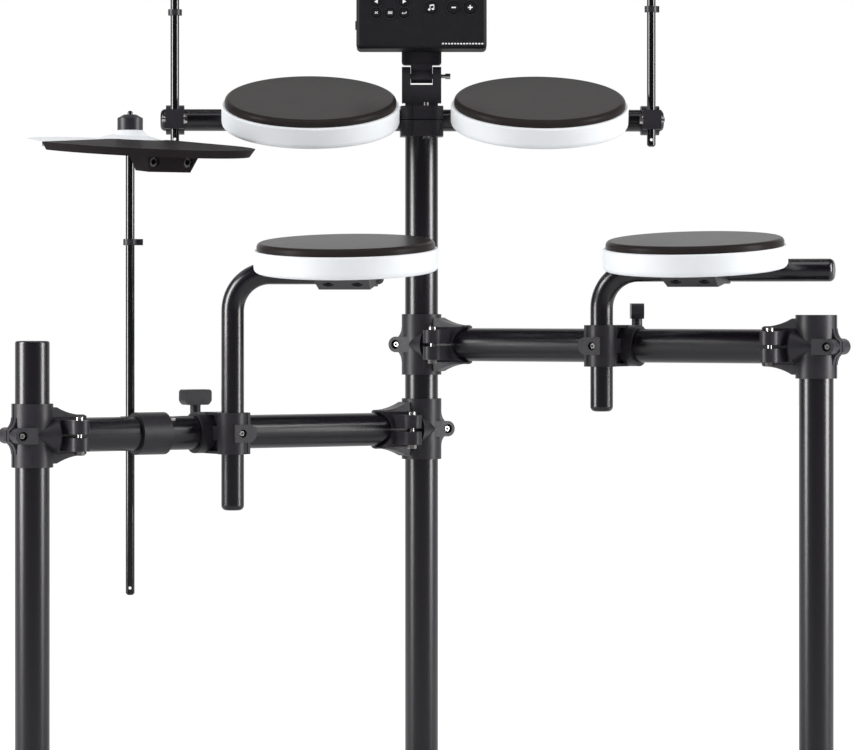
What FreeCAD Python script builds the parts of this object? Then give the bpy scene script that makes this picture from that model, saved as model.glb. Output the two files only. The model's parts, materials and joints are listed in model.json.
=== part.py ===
import FreeCAD, Part
import os
import re
from types import SimpleNamespace

import Sketcher
from FreeCAD import Placement, Rotation, Vector

# Compact electronic drum kit on a three-post folding stand.
# The origin is the floor under the centre post: X to the drummer's right, Y away from them, Z up.

# Driving sizes, in millimetres and degrees
SIZES = {
    # stand tubes
    "tube_dia": 38.1,
    "tube_wall": 1.6,
    "post_gap": 500,
    "left_bar_angle": 31.3,
    "right_bar_angle": 29.5,
    "left_bar_height": 470,
    "right_bar_height": 567.5,
    "left_post_rise": 104,
    "post_plug_rim": 4,
    "post_plug_round": 2.5,
    "pipe_plug_rim": 6,
    "pipe_plug_round": 5.5,
    "plug_depth": 16,
    # feet
    "foot_tube_dia": 31.8,
    "foot_length": 400,
    "foot_cap_dia": 40,
    "foot_cap_length": 46,
    "foot_cap_wall": 5,
    "foot_cap_flat": 1.5,
    "centre_foot_dia": 58,
    "centre_foot_height": 42,
    "centre_foot_sole": 8,
    # clamps that hold the bars on the posts
    "sleeve_dia": 46,
    "sleeve_height": 70,
    "sleeve_slit": 2,
    "ear_reach": 22.2,
    "ear_dia": 18,
    "ear_length": 45.4,
    "ear_web": 13,
    "ear_web_rise": 20,
    "ear_web_radius": 16,
    "screw_dia": 6,
    "screw_head_dia": 10.5,
    "screw_head_depth": 5,
    "flare_width": 20,
    "flare_rise": 31,
    "flare_reach": 60,
    "flare_height": 44,
    "flare_radius": 72.6,
    "cup_dia": 45,
    "cup_end": 62,
    "cup_slit": 4,
    "cup_slit_start": 25,
    "scallop_start": 52,
    "scallop_radius": 26,
    "bar_start": 27,
    "bolt_place": 37.5,
    "bolt_reach": 40.7,
    "bolt_dia": 6,
    "bolt_lug_dia": 22,
    "bolt_lug_height": 34,
    "shroud_start": -12.3,
    "shroud_end": 18,
    "shroud_radius": 18,
    # top clamp and cross pipe
    "pipe_dia": 25.4,
    "pipe_wall": 1.5,
    "pipe_height": 827,
    "pipe_angle": 2,
    "pipe_left": 302,
    "pipe_right": 281,
    "top_clamp_width": 49.5,
    "top_clamp_depth": 50,
    "top_clamp_low": 19,
    "top_clamp_high": 16,
    "top_clamp_rib": 21,
    "top_clamp_rib_rise": 2,
    "clamp_seam": 1,
    "clamp_corner": 9,
    # arms for the snare and the floor tom
    "arm_bend": 42,
    "snare_clamp_place": 274,
    "snare_arm_rise": 179,
    "snare_arm_tail": 86,
    "snare_arm_reach": 170,
    "snare_arm_angle": -7,
    "floor_clamp_place": 257.5,
    "floor_arm_rise": 84.5,
    "floor_arm_tail": 73.5,
    "floor_arm_reach": 264,
    "floor_arm_angle": -16,
    # rack clamps
    "rack_ring_dia": 46.5,
    "rack_ring_width": 50,
    "rack_rod_offset": 45,
    "rack_holder_dia": 34,
    "rack_holder_height": 46.5,
    "rack_web_width": 27,
    "rack_pocket_height": 12,
    "rack_pocket_rise": 14,
    "rack_pocket_depth": 6,
    "rack_boss_dia": 20,
    "rack_boss_rise": 1.5,
    "rack_boss_reach": 10.6,
    "rack_boss_back": 7,
    "rack_screw_place": 3.3,
    "rack_flange_reach": 16.5,
    "rack_flange_back": 9,
    "rack_flange_front": 11,
    "rack_split": 1.5,
    "rack_split_place": 12.5,
    "rack_screw_dia": 9,
    "rack_screw_depth": 6,
    "rack_lug_offset": 43,
    "rack_lug_dia": 20,
    "rack_lug_height": 24,
    "rack_slit": 3,
    "knob_width": 34.5,
    "knob_thickness": 14.5,
    "knob_height": 17.5,
    "knob_shoulder": 4.5,
    "knob_foot": 27,
    "floor_knob_turn": -60,
    "knob_round": 3.6,
    "knob_rise": 30,
    "knob_stem_dia": 12,
    "knob_screw_dia": 6,
    # drum pads
    "pad_dia": 204,
    "rim_height": 25,
    "rim_wall": 7,
    "rim_low_round": 6,
    "rim_high_round": 2,
    "rubber_dia": 197,
    "rubber_rise": 8.5,
    "rubber_round": 5,
    "plate_low": 8.4,
    "plate_high": 12,
    "pad_tube_back": 45,
    "pad_tube_drop": 6,
    "channel_gap": 1.5,
    "jack_case_width": 63,
    "jack_case_foot": 57,
    "jack_case_depth": 18.5,
    "jack_case_front": 52,
    "jack_slope": 37,
    "saddle_wall": 2.4,
    "jack_dia": 12,
    "jack_depth": 9,
    "jack_spacing": 32,
    "jack_share": 0.62,
    "pad_tilt": 6,
    "snare_place": 134.5,
    "floor_place": 117.4,
    "tom_tilt": 18,
    "tom_left_place": 129,
    "tom_right_place": 134,
    # cymbal rods, seats and nuts
    "rod_dia": 10,
    "rod_tip_dia": 6,
    "rod_tip_height": 39,
    "rod_end_hole": 3.5,
    "rod_end_margin": 8,
    "rod_end_taper": 2,
    "seat_radius": 16.7,
    "seat_dia": 24,
    "seat_low": 7,
    "seat_gap": 0.3,
    "bell_thickness": 5,
    "bell_dia": 78,
    "bell_top_dia": 37,
    "bell_rise": 6,
    "bell_hole_dia": 17,
    "nut_dia": 28.7,
    "nut_edge": 12.5,
    "nut_crown": 4,
    "nut_top_dia": 14.4,
    # cymbal pads
    "cymbal_dia": 256,
    "cymbal_offset": 24,
    "shell_edge": 5,
    "shell_low": -2,
    "shell_crown": 3,
    "pad_edge": 9,
    "pad_low": -6,
    "pad_crown": 5,
    "pad_undercut": 6,
    "cymbal_seam": 0.3,
    "jack_box_width": 68,
    "jack_box_depth": 42,
    "jack_box_height": 19,
    "jack_box_foot": 54,
    "jack_box_spacing": 44,
    "jack_box_share": 0.4,
    "jack_box_place": 52,
    # hi-hat
    "hihat_clamp_place": 355,
    "hihat_ring_dia": 47.5,
    "hihat_ring_width": 36,
    "hihat_rod_offset": 47,
    "hihat_holder_dia": 22,
    "hihat_seat_height": 793,
    "hihat_rod_tail": 183,
    "hihat_turn": 35,
    "hihat_tilt": 5,
    # crash and ride
    "rod_clamp_width": 21,
    "rod_clamp_dia": 34,
    "rod_offset": 21,
    "rod_boss_height": 22,
    "rod_boss_reach": 36,
    "rod_bolt_dia": 6,
    "rod_bolt_place": 31,
    "crash_place": 285,
    "ride_place": 265,
    "crash_seat_height": 1210,
    "crash_rod_tail": 31,
    "crash_turn": 25,
    "crash_tilt": 8,
    # sound module on its yoke
    "yoke_width": 45.6,
    "yoke_slot": 25.6,
    "yoke_neck": 38,
    "yoke_neck_height": 4,
    "yoke_depth": 22,
    "yoke_bolt_rise": 51,
    "yoke_slot_drop": 10.2,
    "tongue_end_dia": 16,
    "tilt_pin_dia": 6,
    "tongue_width": 25,
    "bracket_width": 46,
    "bracket_depth": 10,
    "bracket_low": 13,
    "bracket_high": 88,
    "bracket_round": 3.5,
    "bracket_flange": 3.5,
    "bracket_recess": 3,
    "module_tilt": 4,
    "module_width": 150,
    "module_height": 150,
    "module_depth": 40,
    "module_low": 27,
    "module_front": 45,
    "module_round": 5,
    "key_gap": 0.3,
    "key_depth": 6,
    "key_rise": 1.2,
    "key_travel_room": 1.6,
    "small_key_dia": 11,
    "large_key_dia": 14,
    "key_first": -52,
    "key_pitch": 16,
    "key_row_low": 41,
    "key_row_high": 54,
    "key_row_large": 47,
    "kit_key_across": 11,
    "minus_key_across": 37,
    "plus_key_across": 56,
    "dial_dia": 24,
    "dial_rise": 14,
    "dial_draft": 1,
    "dial_spindle_dia": 6,
    "dial_across": 46,
    "dial_up": 106,
    # fits
    "lap": 1,
    "grip_gap": 0.05,
    "running_gap": 0.06,
}

X, Y, Z = Vector(1, 0, 0), Vector(0, 1, 0), Vector(0, 0, 1)

# Steps that must leave at least one solid
SOLID_STEPS = ("Part::Cut", "Part::MultiFuse", "Part::MultiCommon")

# Key places on the module's face: across from its middle, up from its bottom edge, and the key's size
KEYS = {
    "key_left": ("key_first", "key_row_high", "small_key_dia"),
    "key_right": ("key_first + 2 * key_pitch", "key_row_high", "small_key_dia"),
    "key_exit": ("key_first", "key_row_low", "small_key_dia"),
    "key_menu": ("key_first + key_pitch", "key_row_low", "small_key_dia"),
    "key_enter": ("key_first + 2 * key_pitch", "key_row_low", "small_key_dia"),
    "key_kit": ("kit_key_across", "key_row_large", "large_key_dia"),
    "key_minus": ("minus_key_across", "key_row_large", "large_key_dia"),
    "key_plus": ("plus_key_across", "key_row_large", "large_key_dia"),
}

doc = FreeCAD.newDocument("drum_kit")
sheet = doc.addObject("Spreadsheet::Sheet", "dims")
for row, (alias, number) in enumerate(SIZES.items(), 1):
    sheet.set("A%d" % row, alias)
    sheet.set("B%d" % row, str(number))
    sheet.setAlias("B%d" % row, alias)
doc.recompute()
size = SimpleNamespace(**{alias: float(sheet.get(alias)) for alias in SIZES})
nodes = []


# Document helpers
def bound(formula):
    """A formula of size names, with each name pointing at its cell in the sheet."""
    return re.sub(r"[a-z]\w*", lambda word: "dims." + word.group(), str(formula))


def value(formula):
    return float(sheet.evalExpression(bound(formula)))


def sized(kind, name, sizes, base, axis=Z):
    """A primitive whose sizes are bound to the sheet, standing on base along axis."""
    piece = doc.addObject("Part::" + kind, name)
    for prop, formula in sizes.items():
        piece.setExpression(prop, bound(formula))
    piece.Placement = Placement(Vector(*base), Rotation(Z, axis))
    return piece


def cylinder(name, dia, height, base=(0, 0, 0), axis=Z):
    sizes = {"Radius": "(%s) / 2" % dia, "Height": height}
    return sized("Cylinder", name, sizes, base, axis)


def cone(name, low_dia, high_dia, height, base=(0, 0, 0), axis=Z):
    sizes = {"Radius1": "(%s) / 2" % low_dia, "Radius2": "(%s) / 2" % high_dia, "Height": height}
    return sized("Cone", name, sizes, base, axis)


def ball(name, radius, centre=(0, 0, 0)):
    return sized("Sphere", name, {"Radius": radius}, centre)


def block(name, length, width, height, centre=(0, 0, 0)):
    """A box about its centre; the centre's three coordinates may be formulas."""
    piece = sized("Box", name, {"Length": length, "Width": width, "Height": height}, (0, 0, 0))
    for letter, middle, across in zip("xyz", centre, (length, width, height)):
        piece.setExpression("Placement.Base." + letter, bound("(%s) - (%s) / 2" % (middle, across)))
    return piece


def join(name, *pieces):
    piece = doc.addObject("Part::MultiFuse", name)
    piece.Shapes = list(pieces)
    return piece


def trim(name, base, *tools):
    piece = doc.addObject("Part::Cut", name)
    piece.Base = base
    piece.Tool = tools[0] if len(tools) == 1 else join(name + "_tools", *tools)
    return piece


def overlap(name, *pieces):
    piece = doc.addObject("Part::MultiCommon", name)
    piece.Shapes = list(pieces)
    return piece


def tube(name, dia, wall, length, base=(0, 0, 0), axis=Z):
    outside = cylinder(name + "_outside", dia, length, base, axis)
    inside = cylinder(name + "_inside", "%s - 2 * %s" % (dia, wall), length, base, axis)
    return trim(name, outside, inside)


def outline_sketch(body, name, role, outline):
    """A closed outline of straight lines; each corner's two formulas are bound to the sheet."""
    plane = next(f for f in body.Origin.OriginFeatures if f.Role == role)
    sketch = body.newObject("Sketcher::SketchObject", name)
    sketch.AttachmentSupport = (plane, [""])
    sketch.MapMode = "FlatFace"
    corners = [[value(f) for f in corner] for corner in outline]
    for index, corner in enumerate(corners):
        after = corners[(index + 1) % len(corners)]
        sketch.addGeometry(Part.LineSegment(Vector(*corner, 0), Vector(*after, 0)), False)
    for index, corner in enumerate(outline):
        after = (index + 1) % len(outline)
        sketch.addConstraint(Sketcher.Constraint("Coincident", index, 2, after, 1))
    for index, corner in enumerate(outline):
        for kind, formula, number in zip(("DistanceX", "DistanceY"), corner, corners[index]):
            place = sketch.addConstraint(Sketcher.Constraint(kind, -1, 1, index, 1, number))
            sketch.setExpression("Constraints[%d]" % place, bound(formula))
    return sketch


def turned(name, outline):
    """A body turned about Z from an outline of (radius, height) formulas."""
    body = doc.addObject("PartDesign::Body", name)
    sketch = outline_sketch(body, name + "_outline", "XZ_Plane", outline)
    turn = body.newObject("PartDesign::Revolution", name + "_turn")
    turn.Profile = sketch
    turn.ReferenceAxis = (sketch, ["V_Axis"])
    turn.Angle = 360
    return body


def extruded(name, role, outline, depth):
    """A body padded evenly both ways from an outline on one of its own planes."""
    body = doc.addObject("PartDesign::Body", name)
    sketch = outline_sketch(body, name + "_outline", role, outline)
    pad = body.newObject("PartDesign::Pad", name + "_pad")
    pad.Profile = sketch
    pad.SideType = "Symmetric"
    pad.setExpression("Length", bound(depth))
    return body


def rounded(body, name, radius, picks):
    """A fillet on the edges of the body's tip that picks accepts."""
    doc.recompute()
    base = body.Tip
    edges = ["Edge%d" % n for n, edge in enumerate(base.Shape.Edges, 1) if picks(edge)]
    fillet = body.newObject("PartDesign::Fillet", name)
    fillet.Base = (base, edges)
    fillet.setExpression("Radius", bound(radius))
    return body


def ring_at(radius, height):
    return lambda edge: (
        hasattr(edge.Curve, "Radius")
        and abs(edge.Curve.Radius - radius) < 1e-4
        and abs(edge.BoundBox.Center.z - height) < 1e-4
    )


def shift(x=0, y=0, z=0):
    return Placement(Vector(x, y, z), Rotation())


def turn(axis, angle):
    return Placement(Vector(), Rotation(axis, angle))


def node(label, frame, *solids):
    """One sub-part of the kit: its solids, placed in the kit's frame."""
    piece = solids[0]
    if len(solids) > 1:
        piece = doc.addObject("Part::Compound", label + "_group")
        piece.Links = list(solids)
    piece.Label = label
    piece.Placement = frame
    nodes.append(piece)
    return piece


# Frames that the sub-parts are placed in
left_bar_frame = shift(z=size.left_bar_height) * turn(Z, 180 + size.left_bar_angle)
right_bar_frame = shift(z=size.right_bar_height) * turn(Z, -size.right_bar_angle)
far_end = shift(x=size.post_gap) * turn(Z, 180)
pipe_frame = shift(z=size.pipe_height) * turn(Z, size.pipe_angle)
module_pivot = shift(z=size.pipe_height + size.yoke_bolt_rise)


def floor_under(frame):
    """The upright frame on the floor below a placed frame."""
    return shift(frame.Base.x, frame.Base.y)


left_leg_frame = floor_under(left_bar_frame * far_end)
right_leg_frame = floor_under(right_bar_frame * far_end)
snare_clamp_frame = left_bar_frame * shift(x=size.snare_clamp_place)
floor_clamp_frame = right_bar_frame * shift(x=size.floor_clamp_place) * turn(Z, 180)
hihat_clamp_frame = left_bar_frame * shift(x=size.hihat_clamp_place) * turn(Z, 180)


def upright(frame, offset, height, angle):
    """The frame of something that stands beside a bar: turned about Z, at its own height."""
    foot = floor_under(frame * shift(y=offset))
    return foot * shift(z=height) * turn(Z, angle)


snare_arm_height = size.left_bar_height + size.snare_arm_rise
floor_arm_height = size.right_bar_height + size.floor_arm_rise
snare_arm_frame = upright(snare_clamp_frame, size.rack_rod_offset, snare_arm_height, size.snare_arm_angle)
floor_arm_frame = upright(floor_clamp_frame, size.rack_rod_offset, floor_arm_height, size.floor_arm_angle)


def pad_on_tube(tube_frame, place, tilt):
    """A pad's frame, at the middle of its rim's underside, from the tube that carries it."""
    seat = shift(y=-size.pad_tube_back, z=size.pad_tube_drop)
    return tube_frame * shift(x=place) * turn(X, tilt) * seat


pad_frames = {
    "snare": pad_on_tube(snare_arm_frame, size.snare_place, size.pad_tilt),
    "floor_tom": pad_on_tube(floor_arm_frame, size.floor_place, size.pad_tilt),
    "left_tom": pad_on_tube(pipe_frame, -size.tom_left_place, size.tom_tilt),
    "right_tom": pad_on_tube(pipe_frame, size.tom_right_place, size.tom_tilt),
}
crash_clamp_frame = pipe_frame * shift(x=-size.crash_place)
ride_clamp_frame = pipe_frame * shift(x=size.ride_place)
rod_frames = {
    "hihat": upright(hihat_clamp_frame, size.hihat_rod_offset, size.hihat_seat_height, 0),
    "crash": upright(crash_clamp_frame, -size.rod_offset, size.crash_seat_height, 0),
    "ride": upright(ride_clamp_frame, -size.rod_offset, size.crash_seat_height, 0),
}
cymbal_frames = {
    "hihat": rod_frames["hihat"] * turn(Z, size.hihat_turn) * turn(X, size.hihat_tilt),
    "crash": rod_frames["crash"] * turn(Z, size.crash_turn) * turn(X, size.crash_tilt),
    "ride": rod_frames["ride"] * turn(Z, -size.crash_turn) * turn(X, size.crash_tilt),
}
module_frame = module_pivot * turn(X, -size.module_tilt)


# Stand posts, feet and bars
def end_plug(name, kind, wall, seat, axis=Z):
    """A plug that closes a tube: a rounded rim as wide as the tube, and a spigot inside it."""
    outer = "%s / 2" % {"post": "tube_dia", "pipe": "pipe_dia"}[kind]
    inner = "%s - %s - grip_gap" % (outer, wall)
    rim = kind + "_plug_rim"
    plug = turned(name, [
        ("0", "-plug_depth"), (inner, "-plug_depth"), (inner, "0"), (outer, "0"), (outer, rim), ("0", rim),
    ])
    rounded(plug, name + "_edge", kind + "_plug_round", ring_at(value(outer), value(rim)))
    plug.Placement = Placement(Vector(*seat), Rotation(Z, axis))
    return plug


def side_post(name, top):
    """A post welded on a foot tube that runs front to back, with a plug in its top."""
    axis_height = size.foot_cap_dia / 2 - size.foot_cap_flat
    foot_start = (0, -size.foot_length / 2, axis_height)
    shoulder = "%s - post_plug_rim - foot_cap_dia / 2 + foot_cap_flat" % top
    post = cylinder(name + "_outside", "tube_dia", shoulder, (0, 0, axis_height))
    bore = cylinder(name + "_inside", "tube_dia - 2 * tube_wall", shoulder, (0, 0, axis_height))
    foot = cylinder(name + "_foot", "foot_tube_dia", "foot_length", foot_start, Y)
    foot_bore = cylinder(
        name + "_foot_inside", "foot_tube_dia - 2 * tube_wall", "foot_length", foot_start, Y
    )
    welded = join(name + "_weld", post, foot)
    plug_seat = (0, 0, value("%s - post_plug_rim" % top))
    return trim(name, welded, bore, foot_bore), end_plug(name + "_plug", "post", "tube_wall", plug_seat)


def foot_caps(name):
    """Rubber cups on both ends of a foot tube, flat where they stand on the floor."""
    axis_height = size.foot_cap_dia / 2 - size.foot_cap_flat
    cups = []
    for end, direction in (("front", -1), ("back", 1)):
        mouth = direction * (size.foot_length / 2 + size.foot_cap_wall - size.foot_cap_length)
        axis = Y * direction
        cup = cylinder(name + "_" + end, "foot_cap_dia", "foot_cap_length", (0, mouth, axis_height), axis)
        bore = cylinder(
            name + "_%s_bore" % end, "foot_tube_dia + 2 * grip_gap",
            "foot_cap_length - foot_cap_wall", (0, mouth, axis_height), axis,
        )
        floor = block(
            name + "_%s_floor" % end, "2 * foot_cap_dia", "3 * foot_length", "foot_cap_dia",
            (0, 0, "-foot_cap_dia / 2"),
        )
        cups.append(trim(name + "_%s_cup" % end, cup, bore, floor))
    return cups


def centre_foot():
    """The round rubber foot that the centre post stands in."""
    mouth = "tube_dia / 2 + grip_gap"
    return turned("centre_foot", [
        ("0", "0"),
        ("centre_foot_dia / 2", "0"),
        ("centre_foot_dia / 2", "centre_foot_sole"),
        (mouth + " + foot_cap_wall", "centre_foot_height"),
        (mouth, "centre_foot_height"),
        (mouth, "centre_foot_sole"),
        ("0", "centre_foot_sole"),
    ])


def flare_cutters(name, reach, rise, radius):
    """Two large cylinders that hollow the upper and lower edges of a web into a flare."""
    cutters = []
    for side, sign in (("top", 1), ("bottom", -1)):
        start = (value(reach), -size.sleeve_dia, sign * value(rise))
        cutters.append(cylinder(
            name + "_flare_" + side, "2 * (%s)" % radius, "2 * sleeve_dia", start, Y
        ))
    return cutters


def screw_ear(name):
    """The two lugs of a sleeve's screw, on a web that flares out of the sleeve."""
    lug = cylinder(name + "_lug", "ear_dia", "ear_length", (-size.ear_reach, -size.ear_length / 2, 0), Y)
    root = block(name + "_root", "ear_reach", "ear_length", "ear_dia", ("-ear_reach / 2", 0, 0))
    web_reach = "ear_reach + ear_dia / 2"
    web = block(name + "_web", web_reach, "ear_web", "2 * ear_web_rise", ("-(%s) / 2" % web_reach, 0, 0))
    flares = flare_cutters(name, "-sleeve_dia / 2 - ear_web_radius", "ear_web_rise", "ear_web_radius")
    return join(name, lug, root, trim(name + "_flared_web", web, *flares))


def screw_cutters(name):
    """The slit of a sleeve, the hole of its screw and the recesses of the screw's head and nut."""
    slit = block(name + "_slit", "2 * ear_reach", "sleeve_slit", "sleeve_height", ("-ear_reach", 0, 0))
    cutters = [slit]
    for kind, dia, length in (
        ("hole", "screw_dia", "ear_length / 2"),
        ("recess", "screw_head_dia", "screw_head_depth"),
    ):
        for end, sign in (("near", -1), ("far", 1)):
            start = (-size.ear_reach, sign * size.ear_length / 2, 0)
            cutters.append(cylinder("%s_%s_%s" % (name, end, kind), dia, length, start, Y * -sign))
    return cutters


def bolt_ear(name, side):
    """The two lugs of a cup's bolt, on the side of the cup, and the shroud between them and the sleeve."""
    low = (size.bolt_place, side * size.bolt_reach, -size.bolt_lug_height / 2)
    lug = cylinder(name + "_lug", "bolt_lug_dia", "bolt_lug_height", low)
    root = block(name + "_root", "bolt_lug_dia", "bolt_reach", "bolt_lug_height",
                 ("bolt_place", "%d * bolt_reach / 2" % side, 0))
    shroud = cone(name + "_shroud", "0", "2 * shroud_radius", "shroud_end - shroud_start",
                  (size.shroud_start, side * size.shroud_radius, 0), X)
    return join(name, lug, root, shroud)


def bar_clamp(name, side):
    """A clamp that holds a bar on a post: a split sleeve, a flared and scalloped cup, and two ears."""
    half = size.sleeve_height / 2
    sleeve = cylinder(name + "_sleeve", "sleeve_dia", "sleeve_height", (0, 0, -half))
    cup = cylinder(name + "_cup", "cup_dia", "cup_end", (0, 0, 0), X)
    web = block(name + "_web", "flare_reach", "flare_width", "2 * flare_rise", ("flare_reach / 2", 0, 0))
    flares = flare_cutters(name, "flare_reach", "flare_height / 2 + flare_radius", "flare_radius")
    solid = join(
        name + "_solid", sleeve, cup, trim(name + "_flared_web", web, *flares),
        screw_ear(name + "_screw_ear"), bolt_ear(name + "_bolt_ear", side),
    )
    post_bore = cylinder(name + "_post_bore", "tube_dia + 2 * running_gap", "sleeve_height", (0, 0, -half))
    bar_bore = cylinder(name + "_bar_bore", "tube_dia + 2 * grip_gap", "cup_end", (size.bar_start, 0, 0), X)
    scallop_start = (size.scallop_start + size.scallop_radius, -size.cup_dia, 0)
    scallop = cylinder(name + "_scallop", "2 * scallop_radius", "2 * cup_dia", scallop_start, Y)
    slit = block(name + "_slit", "cup_end", "2 * bolt_reach", "cup_slit",
                 ("cup_slit_start + cup_end / 2", "%d * bolt_reach" % side, 0))
    bolt_low = (size.bolt_place, side * size.bolt_reach, -size.bolt_lug_height / 2)
    bolt = cylinder(name + "_bolt", "bolt_dia", "bolt_lug_height", bolt_low)
    screw = screw_cutters(name + "_screw")
    return trim(name, solid, post_bore, bar_bore, scallop, slit, bolt, *screw)


def two_ended(name, side):
    """The clamps at both ends of a bar, facing each other, with their bolts on the same side."""
    inner = bar_clamp(name + "_inner", side)
    outer = bar_clamp(name + "_outer", -side)
    outer.Placement = far_end
    return inner, outer


def bar(name):
    return tube(name, "tube_dia", "tube_wall", "post_gap - 2 * bar_start", (size.bar_start, 0, 0), X)


# Top clamp, cross pipe and the arms of the snare and the floor tom
def top_clamp():
    """Two jaws round the cross pipe; the lower one plugs into the centre post."""
    outline = [
        ("-top_clamp_width / 2", "-top_clamp_depth / 2"),
        ("top_clamp_width / 2", "-top_clamp_depth / 2"),
        ("top_clamp_width / 2", "top_clamp_depth / 2"),
        ("-top_clamp_width / 2", "top_clamp_depth / 2"),
    ]
    pipe_line = (-size.top_clamp_width, 0, 0)
    jaws = []
    for side, height, middle in (
        ("lower", "top_clamp_low - clamp_seam / 2", "-(top_clamp_low + clamp_seam / 2) / 2"),
        ("upper", "top_clamp_high - clamp_seam / 2", "(top_clamp_high + clamp_seam / 2) / 2"),
    ):
        name = "top_clamp_" + side
        jaw = extruded(name + "_jaw", "XY_Plane", outline, height)
        rounded(jaw, name + "_corners", "clamp_corner", lambda edge: abs(
            edge.tangentAt(edge.FirstParameter).z) > 0.9)
        jaw.setExpression("Placement.Base.z", bound(middle))
        rib_depth = "top_clamp_depth + 2 * top_clamp_rib_rise"
        rib = block(name + "_rib", "top_clamp_rib", rib_depth, height, (0, 0, middle))
        bore = cylinder(
            name + "_bore", "pipe_dia + 2 * grip_gap", "2 * top_clamp_width", pipe_line, X
        )
        jaws.append(trim(name + "_bored", join(name + "_ribbed", jaw, rib), bore))
    spigot = cylinder(
        "top_clamp_spigot", "tube_dia - 2 * tube_wall - 2 * grip_gap", "plug_depth + lap",
        (0, 0, -size.top_clamp_low - size.plug_depth),
    )
    return join("top_clamp_lower_body", jaws[0], spigot), jaws[1]


def cross_pipe():
    start = (-size.pipe_left + size.pipe_plug_rim, 0, 0)
    length = "pipe_left + pipe_right - 2 * pipe_plug_rim"
    pipe = tube("cross_pipe_tube", "pipe_dia", "pipe_wall", length, start, X)
    left = end_plug("cross_pipe_left", "pipe", "pipe_wall", start, X * -1)
    right_seat = (size.pipe_right - size.pipe_plug_rim, 0, 0)
    right = end_plug("cross_pipe_right", "pipe", "pipe_wall", right_seat, X)
    return pipe, left, right


def bent_pipe(name, dia, drop, reach):
    """An upright and a level run joined by a quarter bend, about the corner of their axes."""
    bend = size.arm_bend
    upright_run = cylinder(name + "_upright", dia, "%s - arm_bend" % drop, (0, 0, -bend), Z * -1)
    level_run = cylinder(name + "_level", dia, "%s - arm_bend" % reach, (bend, 0, 0), X)
    elbow = doc.addObject("Part::Torus", name + "_elbow")
    elbow.setExpression("Radius1", bound("arm_bend"))
    elbow.setExpression("Radius2", bound("(%s) / 2" % dia))
    elbow.Angle3 = 90
    elbow.Placement = Placement(Vector(bend, 0, -bend), Rotation(X * -1, Z, Y, "XYZ"))
    return join(name, upright_run, level_run, elbow)


def pad_arm(name, drop, reach):
    """An L-shaped arm of bent tube, with a plug in each end."""
    tube_drop = drop + " - pipe_plug_rim"
    tube_reach = reach + " - pipe_plug_rim"
    outside = bent_pipe(name + "_outside", "pipe_dia", tube_drop, tube_reach)
    inside = bent_pipe(name + "_inside", "pipe_dia - 2 * pipe_wall", tube_drop, tube_reach)
    low = (0, 0, -value(tube_drop))
    far = (value(tube_reach), 0, 0)
    low_plug = end_plug(name + "_low_plug", "pipe", "pipe_wall", low, Z * -1)
    far_plug = end_plug(name + "_far_plug", "pipe", "pipe_wall", far, X)
    return trim(name + "_tube", outside, inside), low_plug, far_plug


def rack_holder(name, side):
    """The upright holder of an arm: a barrel, a split flange beside it and the boss of its screw."""
    middle = size.rack_rod_offset
    low = (0, middle, -size.rack_holder_height / 2)
    barrel = cylinder(name + "_barrel", "rack_holder_dia", "rack_holder_height", low)
    flange_depth = "rack_flange_back + rack_flange_front"
    flange_middle = "rack_rod_offset + (rack_flange_front - rack_flange_back) / 2"
    flange = block(
        name + "_flange", "rack_flange_reach", flange_depth, "rack_holder_height",
        ("%d * rack_flange_reach / 2" % side, flange_middle, 0),
    )
    split = block(
        name + "_split", "rack_split", "2 * rack_holder_dia", "2 * rack_holder_height",
        ("%d * rack_split_place" % side, "rack_rod_offset", 0),
    )
    body = trim(name + "_halves", join(name + "_body", barrel, flange), split)
    boss_depth = "rack_holder_dia / 2 + rack_boss_rise"
    boss_line = (side * size.rack_boss_reach, middle, 0)
    boss = cylinder(name + "_boss", "rack_boss_dia", boss_depth, boss_line, Y)
    root_across = "%d * (rack_boss_reach - rack_boss_back) / 2" % side
    boss_root = block(
        name + "_boss_root", "rack_boss_reach + rack_boss_back", boss_depth, "rack_boss_dia",
        (root_across, "rack_rod_offset + (%s) / 2" % boss_depth, 0),
    )
    screw_depth = middle + value(boss_depth) - size.rack_screw_depth
    screw_line = (side * size.rack_screw_place, screw_depth, 0)
    screw = cylinder(name + "_screw", "rack_screw_dia", "rack_screw_depth", screw_line, Y)
    return trim(name, join(name + "_solid", body, boss, boss_root), screw)


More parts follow.
